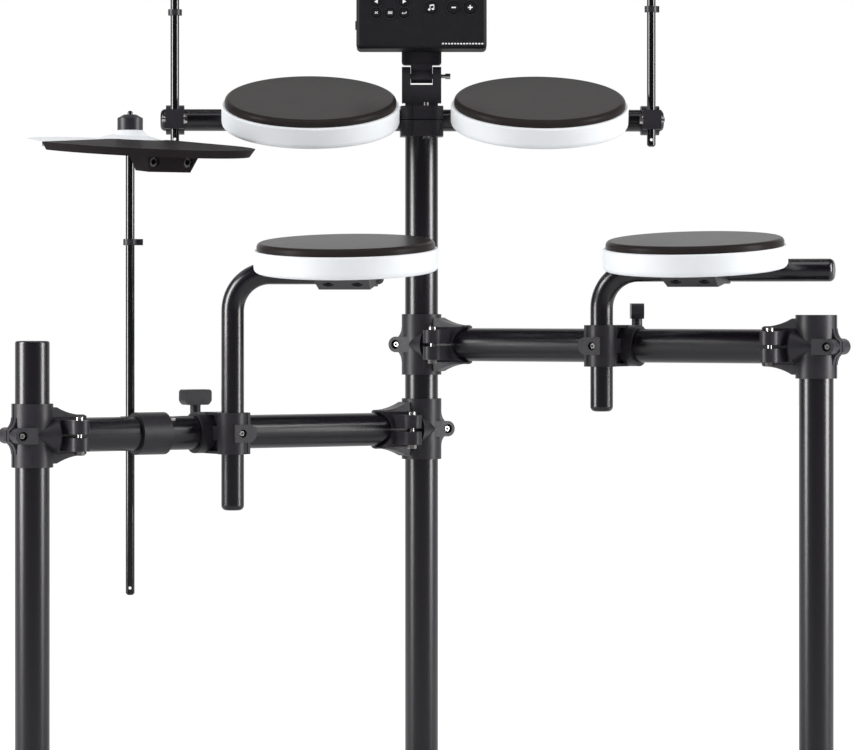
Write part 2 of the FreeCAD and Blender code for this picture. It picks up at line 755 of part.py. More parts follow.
def rack_clamp(name, side):
    """A split ring on the bar, with an upright holder for the arm and lugs for the wing knob."""
    ring_start = (-size.rack_ring_width / 2, 0, 0)
    ring = cylinder(name + "_ring", "rack_ring_dia", "rack_ring_width", ring_start, X)
    web = block(
        name + "_web", "rack_web_width", "rack_rod_offset", "rack_holder_height",
        (0, "rack_rod_offset / 2", 0),
    )
    lug_low = (0, -size.rack_lug_offset, -size.rack_lug_height / 2)
    lug = cylinder(name + "_lug", "rack_lug_dia", "rack_lug_height", lug_low)
    lug_root = block(
        name + "_lug_root", "rack_lug_dia", "rack_lug_offset", "rack_lug_height",
        (0, "-rack_lug_offset / 2", 0),
    )
    solid = join(name + "_solid", ring, web, lug, lug_root, rack_holder(name + "_holder", side))
    through = (-size.rack_ring_width, 0, 0)
    upright_line = (0, size.rack_rod_offset, -size.rack_holder_height)
    bar_bore = cylinder(name + "_bar_bore", "tube_dia + 2 * grip_gap", "2 * rack_ring_width", through, X)
    rod_bore = cylinder(
        name + "_rod_bore", "pipe_dia + 2 * running_gap", "2 * rack_holder_height", upright_line
    )
    slit = block(name + "_slit", "2 * rack_ring_width", "2 * rack_lug_offset", "rack_slit",
                 (0, "-rack_lug_offset", 0))
    screw = cylinder(name + "_screw", "knob_screw_dia + 2 * running_gap", "2 * rack_lug_height",
                     (0, -size.rack_lug_offset, -size.rack_lug_height))
    pockets = []
    for number, (across, up) in enumerate(((-1, -1), (-1, 1), (1, -1), (1, 1))):
        pocket = "%s_pocket_%d" % (name, number)
        pockets.append(block(
            pocket, "2 * rack_pocket_depth", "rack_rod_offset", "rack_pocket_height",
            ("%d * rack_web_width / 2" % across, "rack_rod_offset / 2", "%d * rack_pocket_rise" % up),
        ))
    ring_guard = cylinder(name + "_ring_guard", "rack_ring_dia", "2 * rack_ring_width", through, X)
    holder_guard = cylinder(
        name + "_holder_guard", "rack_holder_dia", "2 * rack_holder_height", upright_line
    )
    hollows = trim(name + "_hollows", join(name + "_pockets", *pockets), ring_guard, holder_guard)
    return trim(name, solid, bar_bore, rod_bore, slit, screw, hollows)


def wing_knob(name):
    """The moulded wing knob on its stem, with the screw that closes the clamp's lugs."""
    half = "knob_width / 2"
    wing = extruded(name + "_wing", "XZ_Plane", [
        ("-knob_foot / 2", "knob_rise"),
        ("knob_foot / 2", "knob_rise"),
        (half, "knob_rise + knob_shoulder"),
        (half, "knob_rise + knob_height"),
        ("-" + half, "knob_rise + knob_height"),
        ("-" + half, "knob_rise + knob_shoulder"),
    ], "knob_thickness")
    rounded(wing, name + "_wing_round", "knob_round", lambda edge: abs(
        edge.tangentAt(edge.FirstParameter).y) > 0.9)
    lug_top = size.rack_lug_height / 2
    stem = cylinder(name + "_stem", "knob_stem_dia", "knob_rise - rack_lug_height / 2 - key_gap + lap",
                    (0, 0, lug_top + size.key_gap))
    screw = cylinder(name + "_screw", "knob_screw_dia", "rack_lug_height + knob_rise / 2", (0, 0, -lug_top))
    return join(name, wing, stem, screw)


# Drum pads
def pad_rim(name):
    """The white hoop of a drum pad, with a channel across it for the tube."""
    outer, inner = "pad_dia / 2", "pad_dia / 2 - rim_wall"
    hoop = turned(name + "_hoop", [
        (inner, "0"), (outer, "0"), (outer, "rim_height"), (inner, "rim_height"),
    ])
    rounded(hoop, name + "_low_round", "rim_low_round", ring_at(size.pad_dia / 2, 0))
    rounded(hoop, name + "_high_round", "rim_high_round", ring_at(size.pad_dia / 2, size.rim_height))
    channel = cylinder(
        name + "_channel", "pipe_dia + 2 * channel_gap", "2 * pad_dia",
        (-size.pad_dia, size.pad_tube_back, -size.pad_tube_drop), X,
    )
    return trim(name, hoop, channel)


def pad_rubber(name):
    """The playing surface: a rubber disc let into the hoop and lapped over its top edge."""
    inner, lap = "pad_dia / 2 - rim_wall - grip_gap", "rubber_dia / 2"
    top = "rim_height + rubber_rise"
    disc = turned(name, [
        ("0", "plate_high"), (inner, "plate_high"), (inner, "rim_height"),
        (lap, "rim_height"), (lap, top), ("0", top),
    ])
    return rounded(disc, name + "_round", "rubber_round",
                   ring_at(size.rubber_dia / 2, size.rim_height + size.rubber_rise))


def jack_case(name):
    """The pad's base plate, its jack housing with a sloped face, and the saddle on the tube."""
    plate = cylinder(name + "_plate", "pad_dia - 2 * rim_wall - 2 * grip_gap", "plate_high - plate_low",
                     (0, 0, size.plate_low))
    profile = extruded(name + "_profile", "YZ_Plane", [
        ("-jack_case_front", "plate_high"),
        ("-jack_case_front", "0"),
        ("-jack_case_front + jack_slope", "-jack_case_depth"),
        ("pad_tube_back", "-jack_case_depth"),
        ("pad_tube_back", "plate_high"),
    ], "jack_case_width")
    flanks = extruded(name + "_flanks", "XZ_Plane", [
        ("-jack_case_width / 2", "plate_high"),
        ("-jack_case_width / 2", "0"),
        ("-jack_case_foot / 2", "-jack_case_depth"),
        ("jack_case_foot / 2", "-jack_case_depth"),
        ("jack_case_width / 2", "0"),
        ("jack_case_width / 2", "plate_high"),
    ], "2 * pad_dia")
    housing = overlap(name + "_housing", profile, flanks)
    tube_line = (-size.jack_case_foot / 2, size.pad_tube_back, -size.pad_tube_drop)
    saddle = cylinder(name + "_saddle", "pipe_dia + 2 * saddle_wall", "jack_case_foot", tube_line, X)
    strut = block(name + "_strut", "jack_case_foot", "pipe_dia + 2 * saddle_wall",
                  "plate_high + pad_tube_drop", (0, "pad_tube_back", "(plate_high - pad_tube_drop) / 2"))
    solid = join(name + "_solid", plate, housing, saddle, strut)
    bore = cylinder(name + "_bore", "pipe_dia + 2 * running_gap", "2 * jack_case_width",
                    (-size.jack_case_width, size.pad_tube_back, -size.pad_tube_drop), X)
    inward = Vector(0, size.jack_case_depth, size.jack_slope).normalize()
    mouth = Vector(0, -size.jack_case_front + size.jack_share * size.jack_slope,
                   -size.jack_share * size.jack_case_depth)
    sockets = []
    for side, sign in (("left", -1), ("right", 1)):
        start = mouth + X * (sign * size.jack_spacing / 2) - inward * size.jack_depth
        sockets.append(cylinder(name + "_jack_" + side, "jack_dia", "2 * jack_depth", tuple(start), inward))
    return trim(name, solid, bore, *sockets)


# Cymbals
def cymbal_rod(name, drop):
    """A plain rod with a domed seat, a thin threaded tip and a cross hole at its lower end."""
    lowest = -value(drop)
    point = cone(name + "_point", "rod_tip_dia", "rod_dia", "rod_end_taper", (0, 0, lowest))
    stem_low = (0, 0, lowest + size.rod_end_taper)
    stem = cylinder(name + "_stem", "rod_dia", "%s + seat_low - rod_end_taper" % drop, stem_low)
    tip_top = "rod_tip_height - rod_tip_dia / 2"
    tip = join(
        name + "_tip",
        cylinder(name + "_tip_stem", "rod_tip_dia", tip_top),
        ball(name + "_tip_end", "rod_tip_dia / 2", (0, 0, value(tip_top))),
    )
    washer = cylinder(name + "_washer", "seat_dia", "seat_radius", (0, 0, size.seat_low))
    seat = overlap(name + "_seat", washer, ball(name + "_dome", "seat_radius"))
    hole_line = (0, -size.rod_dia, lowest + size.rod_end_margin)
    hole = cylinder(name + "_hole", "rod_end_hole", "2 * rod_dia", hole_line, Y)
    return trim(name, join(name + "_solid", point, stem, tip, seat), hole)


def cymbal_nut(name):
    """The round nut on the rod's tip, hollowed below to follow the bell as the cymbal swings."""
    top = "seat_radius + seat_gap + bell_thickness + nut_edge"
    low = "seat_radius"
    nut = turned(name + "_turned", [
        ("rod_tip_dia / 2 + grip_gap", low), ("nut_dia / 2", low), ("nut_dia / 2", top + " - nut_crown"),
        ("nut_top_dia / 2", top), ("rod_tip_dia / 2 + grip_gap", top),
    ])
    return trim(name, nut, ball(name + "_hollow", "seat_radius + 2 * seat_gap + bell_thickness"))


def cymbal_shell(name):
    """The white rear half of a cymbal pad, with the bell that rides on the rod's seat."""
    middle = (0, -size.cymbal_offset, size.shell_low)
    disc = cylinder(name + "_disc", "cymbal_dia", "shell_edge", middle)
    crown_base = (0, -size.cymbal_offset, size.shell_low + size.shell_edge)
    crown = cone(name + "_crown", "cymbal_dia", "bell_dia", "shell_crown", crown_base)
    front = block(name + "_front", "2 * cymbal_dia", "cymbal_dia", "cymbal_dia",
                  (0, "-cymbal_offset - cymbal_dia / 2 + cymbal_seam / 2", 0))
    rear = trim(name + "_rear", join(name + "_plate", disc, crown), front)
    bell_low = (0, 0, size.shell_low)
    bell_root = cylinder(name + "_bell_root", "bell_dia", "shell_edge + shell_crown", bell_low)
    dome = overlap(name + "_dome", ball(name + "_ball", "seat_radius + seat_gap + bell_thickness"),
                   cylinder(name + "_dome_limit", "bell_top_dia", "cymbal_dia"))
    bell_foot = (0, 0, size.shell_low + size.shell_edge + size.shell_crown)
    bell = cone(name + "_bell", "bell_dia", "bell_top_dia", "bell_rise", bell_foot)
    solid = join(name + "_solid", rear, bell_root, bell, dome)
    socket = ball(name + "_socket", "seat_radius + seat_gap")
    over = trim(name + "_over", cylinder(name + "_over_limit", "bell_top_dia", "cymbal_dia"),
                ball(name + "_over_ball", "seat_radius + seat_gap + bell_thickness"))
    hole = cylinder(name + "_hole", "bell_hole_dia", "cymbal_dia", (0, 0, -size.cymbal_dia / 2))
    return trim(name, solid, socket, hole, over)


def cymbal_pad(name):
    """The black front half: a thick undercut pad, with a jack box below it."""
    middle = (0, -size.cymbal_offset, size.pad_low)
    edge = cone(name + "_edge", "cymbal_dia - 2 * pad_undercut", "cymbal_dia", "pad_edge", middle)
    crown_base = (0, -size.cymbal_offset, size.pad_low + size.pad_edge)
    crown = cone(name + "_crown", "cymbal_dia", "bell_dia", "pad_crown", crown_base)
    rear = block(name + "_rear", "2 * cymbal_dia", "cymbal_dia", "cymbal_dia",
                 (0, "-cymbal_offset + cymbal_dia / 2 + cymbal_seam / 2", 0))
    half = trim(name + "_half", join(name + "_plate", edge, crown), rear)
    notch_low = (0, 0, -size.cymbal_dia / 2)
    notch = cylinder(name + "_notch", "bell_dia + 2 * cymbal_seam", "cymbal_dia", notch_low)
    wide = extruded(name + "_box_wide", "XZ_Plane", [
        ("-jack_box_width / 2", "pad_low + lap"),
        ("jack_box_width / 2", "pad_low + lap"),
        ("jack_box_foot / 2", "pad_low - jack_box_height"),
        ("-jack_box_foot / 2", "pad_low - jack_box_height"),
    ], "2 * cymbal_dia")
    front, back = "-jack_box_place - jack_box_depth", "-jack_box_place"
    lean = "(jack_box_width - jack_box_foot) / 2"
    deep = extruded(name + "_box_deep", "YZ_Plane", [
        (front, "pad_low + lap"), (back, "pad_low + lap"),
        ("%s - %s" % (back, lean), "pad_low - jack_box_height"),
        ("%s + %s" % (front, lean), "pad_low - jack_box_height"),
    ], "jack_box_width")
    box = overlap(name + "_box", wide, deep)
    solid = join(name + "_solid", trim(name + "_notched", half, notch), box)
    sockets = []
    for side, sign in (("left", -1), ("right", 1)):
        start = (sign * size.jack_box_spacing / 2, -size.jack_box_place - size.jack_box_depth - size.lap,
                 size.pad_low - size.jack_box_share * size.jack_box_height)
        sockets.append(cylinder(name + "_jack_" + side, "jack_dia", "jack_depth + 4 * lap", start, Y))
    return trim(name, solid, *sockets)


def rod_clamp(name):
    """The clamp of a cymbal rod, on the end of the cross pipe, with a bolt across its jaws."""
    start = (-size.rod_clamp_width / 2, 0, 0)
    ring = cylinder(name + "_ring", "rod_clamp_dia", "rod_clamp_width", start, X)
    boss = block(name + "_boss", "rod_clamp_width", "rod_boss_reach", "rod_boss_height",
                 (0, "-rod_boss_reach / 2", 0))
    solid = join(name + "_solid", ring, boss)
    through = (-size.rod_clamp_width, 0, 0)
    pipe = cylinder(name + "_pipe", "pipe_dia + 2 * running_gap", "2 * rod_clamp_width", through, X)
    rod = cylinder(name + "_rod", "rod_dia + 2 * running_gap", "2 * rod_clamp_dia",
                   (0, -size.rod_offset, -size.rod_clamp_dia))
    bolt_line = (-size.rod_clamp_width, -size.rod_bolt_place, 0)
    bolt = cylinder(name + "_bolt", "rod_bolt_dia", "2 * rod_clamp_width", bolt_line, X)
    return trim(name, solid, pipe, rod, bolt)


def hihat_clamp(name):
    """The ring on the left bar with the upright holder of the hi-hat rod behind it."""
    start = (-size.hihat_ring_width / 2, 0, 0)
    ring = cylinder(name + "_ring", "hihat_ring_dia", "hihat_ring_width", start, X)
    holder_low = (0, size.hihat_rod_offset, -size.hihat_ring_width / 2)
    holder = cylinder(name + "_holder", "hihat_holder_dia", "hihat_ring_width", holder_low)
    web = block(name + "_web", "hihat_holder_dia", "hihat_rod_offset", "hihat_holder_dia",
                (0, "hihat_rod_offset / 2", 0))
    solid = join(name + "_solid", ring, holder, web)
    bar_bore = cylinder(name + "_bar_bore", "tube_dia + 2 * grip_gap", "2 * hihat_ring_width",
                        (-size.hihat_ring_width, 0, 0), X)
    rod_bore = cylinder(name + "_rod_bore", "rod_dia + 2 * running_gap", "2 * hihat_ring_width",
                        (0, size.hihat_rod_offset, -size.hihat_ring_width))
    return trim(name, solid, bar_bore, rod_bore)


# Sound module
def module_yoke():
    """The fork on the top clamp that carries the module, with its tilt pin."""
    low = "top_clamp_high - yoke_bolt_rise"
    fork_low = "%s + yoke_neck_height" % low
    neck = block("yoke_neck_block", "yoke_neck", "yoke_depth", "yoke_neck_height",
                 (0, 0, low + " + yoke_neck_height / 2"))
    fork = block("yoke_fork", "yoke_width", "yoke_depth", "-(%s)" % fork_low, (0, 0, "(%s) / 2" % fork_low))
    ears = cylinder("yoke_ears", "yoke_depth", "yoke_width", (-size.yoke_width / 2, 0, 0), X)
    slot = block("yoke_slot_cut", "yoke_slot", "2 * yoke_depth", "yoke_depth + yoke_slot_drop",
                 (0, 0, "(yoke_depth - yoke_slot_drop) / 2"))
    pin = cylinder("yoke_pin", "tilt_pin_dia", "yoke_width", (-size.yoke_width / 2, 0, 0), X)
    return join("module_yoke", trim("yoke_slotted", join("yoke_solid", neck, fork, ears), slot), pin)


def module_bracket():
    """The tongue in the yoke and the channel-shaped plate that it carries behind the module."""
    tongue = block("tongue_plate", "tongue_width", "bracket_depth", "bracket_low + lap",
                   (0, 0, "(bracket_low + lap) / 2"))
    end = cylinder("tongue_end", "tongue_end_dia", "tongue_width", (-size.tongue_width / 2, 0, 0), X)
    half = "bracket_width / 2"
    plate = extruded("bracket_plate", "XZ_Plane", [
        ("-" + half, "bracket_low"),
        (half, "bracket_low"),
        (half, "bracket_high"),
        ("-" + half, "bracket_high"),
    ], "bracket_depth")
    rounded(plate, "bracket_corners", "bracket_round", lambda edge: abs(
        edge.tangentAt(edge.FirstParameter).y) > 0.9)
    recess = block(
        "bracket_recess_cut", "bracket_width - 2 * bracket_flange", "2 * bracket_recess",
        "2 * bracket_high", (0, "-bracket_depth / 2", "bracket_high + bracket_low"),
    )
    hole = cylinder("tongue_hole", "tilt_pin_dia + 2 * running_gap", "2 * tongue_width",
                    (-size.tongue_width, 0, 0), X)
    channel = trim("bracket_channel", plate, recess)
    return trim("module_bracket", join("bracket_solid", tongue, end, channel), hole)


def face_place(across, up):
    """A point on the module's face, from its middle and its bottom edge."""
    return value(across), -size.module_front, size.module_low + value(up)


def module_case():
    """The module's housing, with a well for each key and for the dial's spindle."""
    back = "module_depth - module_front"
    half = "module_width / 2"
    top = "module_low + module_height"
    case = extruded("module_shell", "XZ_Plane", [
        ("-" + half, "module_low"), (half, "module_low"), (half, top), ("-" + half, top),
    ], "module_depth")
    rounded(case, "module_edges", "module_round", lambda edge: True)
    case.setExpression("Placement.Base.y", bound("(%s - module_front) / 2" % back))
    wells = []
    for name, (across, up, dia) in KEYS.items():
        wells.append(cylinder(name + "_well", "%s + 2 * key_gap" % dia, "key_depth + key_travel_room",
                              face_place(across, up), Y))
    spindle = face_place("dial_across", "dial_up")
    wells.append(cylinder("dial_well", "dial_spindle_dia + 2 * running_gap", "dial_rise", spindle, Y))
    return trim("module_case", case, *wells)


def module_key(name, across, up, dia):
    """One round key, its crown standing a little proud of the face."""
    x, y, z = face_place(across, up)
    stalk = cylinder(name + "_stalk", dia, "key_depth", (x, y, z), Y)
    crown = cone(name + "_crown", dia, "%s - key_rise" % dia, "key_rise", (x, y, z), Y * -1)
    return join(name + "_solid", stalk, crown)


def volume_dial():
    """The volume dial on its spindle."""
    x, y, z = face_place("dial_across", "dial_up")
    front = (x, y - size.dial_rise - size.key_gap, z)
    knob = cone("dial_knob", "dial_dia - 2 * dial_draft", "dial_dia", "dial_rise", front, Y)
    spindle = cylinder("dial_spindle", "dial_spindle_dia", "2 * dial_rise - key_rise", front, Y)
    return join("volume_dial_solid", knob, spindle)


# The kit's sub-parts, each placed in the kit's frame
node("centre_post", shift(), tube(
    "centre_post_tube", "tube_dia", "tube_wall", "pipe_height - top_clamp_low - centre_foot_sole",
    (0, 0, size.centre_foot_sole),
))
node("centre_foot_cap", shift(), centre_foot())
node("top_clamp", pipe_frame, *top_clamp())
node("cross_pipe", pipe_frame, *cross_pipe())
node("module_yoke", module_pivot, module_yoke())

for side, frame, leg_frame, bolt_side, top in (
    ("left", left_bar_frame, left_leg_frame, 1, "left_bar_height + left_post_rise"),
    ("right", right_bar_frame, right_leg_frame, -1, "right_bar_height + sleeve_height / 2"),
):
    node(side + "_bar", frame, bar(side + "_bar_tube"))
    node(side + "_bar_sockets", frame, *two_ended(side + "_clamp", bolt_side))
    node(side + "_post", leg_frame, *side_post(side + "_leg", top))
    node(side + "_foot_caps", leg_frame, *foot_caps(side + "_foot"))

for name, frame, side, knob_turn in (
    ("snare", snare_clamp_frame, -1, 0),
    ("floor_tom", floor_clamp_frame, 1, size.floor_knob_turn),
):
    node(name + "_clamp", frame, rack_clamp(name + "_rack", side))
    knob_frame = frame * shift(y=-size.rack_lug_offset) * turn(Z, knob_turn)
    node(name + "_knob", knob_frame, wing_knob(name + "_wing"))
snare_arm_drop = "snare_arm_rise + snare_arm_tail"
floor_arm_drop = "floor_arm_rise + floor_arm_tail"
node("snare_arm", snare_arm_frame, *pad_arm("snare_l", snare_arm_drop, "snare_arm_reach"))
node("floor_tom_arm", floor_arm_frame, *pad_arm("floor_l", floor_arm_drop, "floor_arm_reach"))

for name, frame in pad_frames.items():
    node(name + "_rim", frame, pad_rim(name + "_hoop"))
    node(name + "_rubber", frame, pad_rubber(name + "_disc"))
    node(name + "_jack_case", frame, jack_case(name + "_case"))

node("hihat_clamp", hihat_clamp_frame, hihat_clamp("hihat_holder"))
node("crash_clamp", crash_clamp_frame, rod_clamp("crash_holder"))
node("ride_clamp", ride_clamp_frame, rod_clamp("ride_holder"))
rod_drops = {
    "hihat": "hihat_seat_height - left_bar_height + hihat_rod_tail",
    "crash": "crash_seat_height - pipe_height + crash_rod_tail",
    "ride": "crash_seat_height - pipe_height + crash_rod_tail",
}
for name, frame in rod_frames.items():
    node(name + "_rod", frame, cymbal_rod(name + "_stick", rod_drops[name]))
    node(name + "_nut", frame, cymbal_nut(name + "_top"))
    node(name + "_shell", cymbal_frames[name], cymbal_shell(name + "_rear"))
    node(name + "_pad", cymbal_frames[name], cymbal_pad(name + "_front"))

node("module_bracket", module_frame, module_bracket())
node("module_case", module_frame, module_case())
node("volume_dial", module_frame, volume_dial())
for name, (across, up, dia) in KEYS.items():
    node(name, module_frame, module_key(name, across, up, dia))

# Check the document, then write one file for each sub-part
doc.recompute()
failed = [o.Label for o in doc.Objects if "Invalid" in o.State or "Error" in o.State]
failed += [o.Label for o in nodes if o.Shape.isNull() or not o.Shape.isValid()]
failed += [o.Label for o in doc.Objects if o.TypeId in SOLID_STEPS and not o.Shape.Solids]
if failed:
    raise SystemExit("failed: " + ", ".join(failed))
os.makedirs("parts", exist_ok=True)
for piece in nodes:
    piece.Shape.exportStep("parts/%s.step" % piece.Label)
print(len(nodes), "sub-parts")
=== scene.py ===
import json
import math

import bpy
from mathutils import Matrix, Vector


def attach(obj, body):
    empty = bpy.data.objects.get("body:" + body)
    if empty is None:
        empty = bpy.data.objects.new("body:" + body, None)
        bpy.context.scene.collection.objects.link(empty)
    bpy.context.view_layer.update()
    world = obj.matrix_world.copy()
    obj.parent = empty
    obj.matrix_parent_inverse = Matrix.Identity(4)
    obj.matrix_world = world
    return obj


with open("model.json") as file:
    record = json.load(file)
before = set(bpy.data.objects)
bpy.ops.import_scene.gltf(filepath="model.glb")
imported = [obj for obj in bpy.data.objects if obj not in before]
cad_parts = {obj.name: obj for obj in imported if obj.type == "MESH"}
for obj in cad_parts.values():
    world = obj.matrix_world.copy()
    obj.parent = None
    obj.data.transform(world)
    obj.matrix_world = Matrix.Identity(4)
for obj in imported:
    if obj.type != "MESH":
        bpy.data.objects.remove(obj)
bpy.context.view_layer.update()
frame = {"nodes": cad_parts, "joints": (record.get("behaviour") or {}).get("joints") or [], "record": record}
JOINTS = {joint["name"]: joint for joint in frame["joints"]}

# Photograph's frame and the camera that took it, in pixels and metres
PICTURE_WIDTH = 854
PICTURE_HEIGHT = 750
FOCAL_PIXELS = 4315
HORIZON_PIXEL = 299
EYE = (0.0063, -5.0, 0.62)
SENSOR = 36.0


# Node helpers for the finishes
SOCKETS = {"specular": "Specular IOR Level", "metallic": "Metallic", "ior": "IOR"}
NOISE_ROUGHNESS = 0.55
COLOUR_STOPS = (0.3, 0.7)


class Finish:
    """A material under construction, with short ways to add and join its nodes."""

    def __init__(self, name, **constants):
        self.material = bpy.data.materials.new(name)
        self.material.use_nodes = True
        self.tree = self.material.node_tree
        self.shader = self.tree.nodes["Principled BSDF"]
        self.coordinates = self.add("ShaderNodeTexCoord").outputs["Object"]
        for key, number in constants.items():
            self.shader.inputs[SOCKETS[key]].default_value = number

    def add(self, kind):
        return self.tree.nodes.new(kind)

    def join(self, start, end):
        self.tree.links.new(start, end)

    def noise(self, scale, detail=4.0):
        node = self.add("ShaderNodeTexNoise")
        node.inputs["Scale"].default_value = scale
        node.inputs["Detail"].default_value = detail
        node.inputs["Roughness"].default_value = NOISE_ROUGHNESS
        self.join(self.coordinates, node.inputs["Vector"])
        return node.outputs["Fac"]

    def colour(self, factor, low, high):
        """A base colour that runs from low to high between the two stops of the factor."""
        node = self.add("ShaderNodeValToRGB")
        for stop, place, shade in zip(node.color_ramp.elements, COLOUR_STOPS, (low, high)):
            stop.position = place
            stop.color = (*shade, 1.0)
        self.join(factor, node.inputs["Fac"])
        self.join(node.outputs["Color"], self.shader.inputs["Base Color"])

    def roughness(self, factor, low, high):
        """A roughness that runs from low to high with a factor from 0 to 1."""
        node = self.add("ShaderNodeMapRange")
        node.inputs["To Min"].default_value = low
        node.inputs["To Max"].default_value = high
        self.join(factor, node.inputs["Value"])
        self.join(node.outputs["Result"], self.shader.inputs["Roughness"])

    def bump(self, height, strength, distance):
        node = self.add("ShaderNodeBump")
        node.inputs["Strength"].default_value = strength
        node.inputs["Distance"].default_value = distance
        self.join(height, node.inputs["Height"])
        self.join(node.outputs["Normal"], self.shader.inputs["Normal"])


def powder_coat():
    """Satin black powder coat of the tubes."""
    paint = Finish("powder_coat", ior=1.75)
    paint.colour(paint.noise(40.0), (0.0048, 0.0030, 0.0066), (0.0056, 0.0036, 0.0076))
    paint.roughness(paint.noise(9.0), 0.255, 0.27)
    return paint.material


def gloss_enamel():
    """Smooth black enamel of the thin cymbal rods."""
    enamel = Finish("gloss_enamel", specular=0.9)
    enamel.colour(enamel.noise(60.0), (0.004, 0.004, 0.005), (0.006, 0.006, 0.007))
    enamel.roughness(enamel.noise(9.0), 0.14, 0.155)
    return enamel.material


def moulded_black():
    """Black moulded nylon of the clamps, with a fine spark texture."""
    nylon = Finish("moulded_black", specular=0.5)
    nylon.colour(nylon.noise(90.0), (0.0205, 0.0180, 0.0235), (0.0260, 0.0232, 0.0290))
    nylon.roughness(nylon.noise(60.0), 0.36, 0.42)
    nylon.bump(nylon.noise(2600.0, detail=3.0), 0.12, 0.0003)
    return nylon.material


def foot_rubber():
    """Dull black rubber of the feet."""
    rubber = Finish("foot_rubber", specular=0.3)
    rubber.colour(rubber.noise(70.0), (0.012, 0.011, 0.012), (0.020, 0.019, 0.020))
    rubber.roughness(rubber.noise(300.0), 0.62, 0.8)
    rubber.bump(rubber.noise(1200.0), 0.2, 0.0005)
    return rubber.material


def white_plastic():
    """Cool white moulded plastic of the hoops and the cymbals' rear shells."""
    white = Finish("white_plastic", specular=0.2)
    white.colour(white.noise(25.0), (0.755, 0.775, 0.80), (0.78, 0.80, 0.825))
    white.roughness(white.noise(240.0), 0.36, 0.46)
    white.bump(white.noise(1500.0, detail=2.0), 0.03, 0.0003)
    return white.material


def pad_rubber():
    """Warm dark grey rubber of the playing surfaces, finely grained."""
    rubber = Finish("pad_rubber", specular=0.05)
    rubber.colour(rubber.noise(35.0), (0.0215, 0.0182, 0.0175), (0.0250, 0.0212, 0.0204))
    rubber.roughness(rubber.noise(60.0), 0.29, 0.33)
    rubber.bump(rubber.noise(2200.0, detail=3.0), 0.08, 0.0003)
    return rubber.material


def cymbal_rubber():
    """Dull dark grey rubber of the cymbals' front halves."""
    rubber = Finish("cymbal_rubber", specular=0.004)
    rubber.colour(rubber.noise(35.0), (0.0200, 0.0172, 0.0182), (0.0235, 0.0203, 0.0214))
    rubber.roughness(rubber.noise(60.0), 0.36, 0.40)
    rubber.bump(rubber.noise(2200.0, detail=3.0), 0.08, 0.0003)
    return rubber.material


def module_black():
    """Near-black textured casing of the sound module."""
    casing = Finish("module_black", specular=0.2)
    casing.colour(casing.noise(120.0), (0.0115, 0.0110, 0.0130), (0.0140, 0.0134, 0.0155))
    casing.roughness(casing.noise(500.0), 0.46, 0.58)
    casing.bump(casing.noise(3000.0, detail=3.0), 0.12, 0.0003)
    return casing.material


def key_silicone():
    """Soft black silicone of the keys."""
    silicone = Finish("key_silicone", specular=0.25)
    silicone.colour(silicone.noise(200.0), (0.006, 0.006, 0.007), (0.009, 0.009, 0.010))
    silicone.roughness(silicone.noise(600.0), 0.5, 0.62)
    silicone.bump(silicone.noise(2500.0), 0.08, 0.0002)
    return silicone.material


def zinc_steel():
    """Zinc plated steel of the screws, bolts and nuts."""
    steel = Finish("zinc_steel", metallic=1.0)
    steel.colour(steel.noise(300.0), (0.62, 0.61, 0.59), (0.74, 0.73, 0.71))
    steel.roughness(steel.noise(800.0), 0.16, 0.28)
    return steel.material


def print_white():
    """White print on the keys and the module's face."""
    ink = Finish("print_white", specular=0.3)
    ink.colour(ink.noise(400.0), (0.80, 0.80, 0.81), (0.86, 0.86, 0.87))
    ink.roughness(ink.noise(900.0), 0.4, 0.5)
    return ink.material


def smoked_window():
    """Smoked glossy window over the display."""
    window = Finish("smoked_window", specular=0.5)
    window.colour(window.noise(30.0), (0.004, 0.005, 0.006), (0.006, 0.007, 0.008))
    window.roughness(window.noise(200.0), 0.05, 0.08)
    return window.material


SLOT_FINISH = {
    "black_tube": powder_coat(),
    "black_rod": gloss_enamel(),
    "clamp_plastic": moulded_black(),
    "foot_rubber": foot_rubber(),
    "white_rim": white_plastic(),
    "pad_rubber": pad_rubber(),
    "module_shell": module_black(),
    "key_rubber": key_silicone(),
}
NODE_FINISH = dict.fromkeys(("hihat_pad", "crash_pad", "ride_pad"), cymbal_rubber())


def dress_cad_nodes():
    """Gives every CAD node its own finish, or else the finish of its material slot."""
    for part in frame["record"]["subparts"]:
        mesh = frame["nodes"][part["node"]].data
        mesh.materials.clear()
        mesh.materials.append(NODE_FINISH.get(part["node"], SLOT_FINISH[part["material_slot"]]))


# Frames of the sub-parts, read from the joints
MM = 0.001
UP = Vector((0.0, 0.0, 1.0))


def place_of(joint):
    return Vector(JOINTS[joint]["pos_m"])


def axis_of(joint):
    return Vector(JOINTS[joint]["axis"])


def basis(origin, across, upward=UP):
    """A frame at origin, with its x along across and its z as near upward as it can be."""
    x = across.normalized()
    y = upward.cross(x).normalized()
    turned = Matrix((x, y, x.cross(y))).transposed().to_4x4()
    turned.translation = origin
    return turned


def moved(x=0.0, y=0.0, z=0.0):
    return Matrix.Translation(Vector((x, y, z)) * MM)


def turned_x(degrees):
    return Matrix.Rotation(math.radians(degrees), 4, "X")


def spot(grid, place, along):
    """A point given in millimetres in a frame, and the direction that a piece points from it."""
    return grid @ (Vector(place) * MM), grid.to_3x3() @ Vector(along)


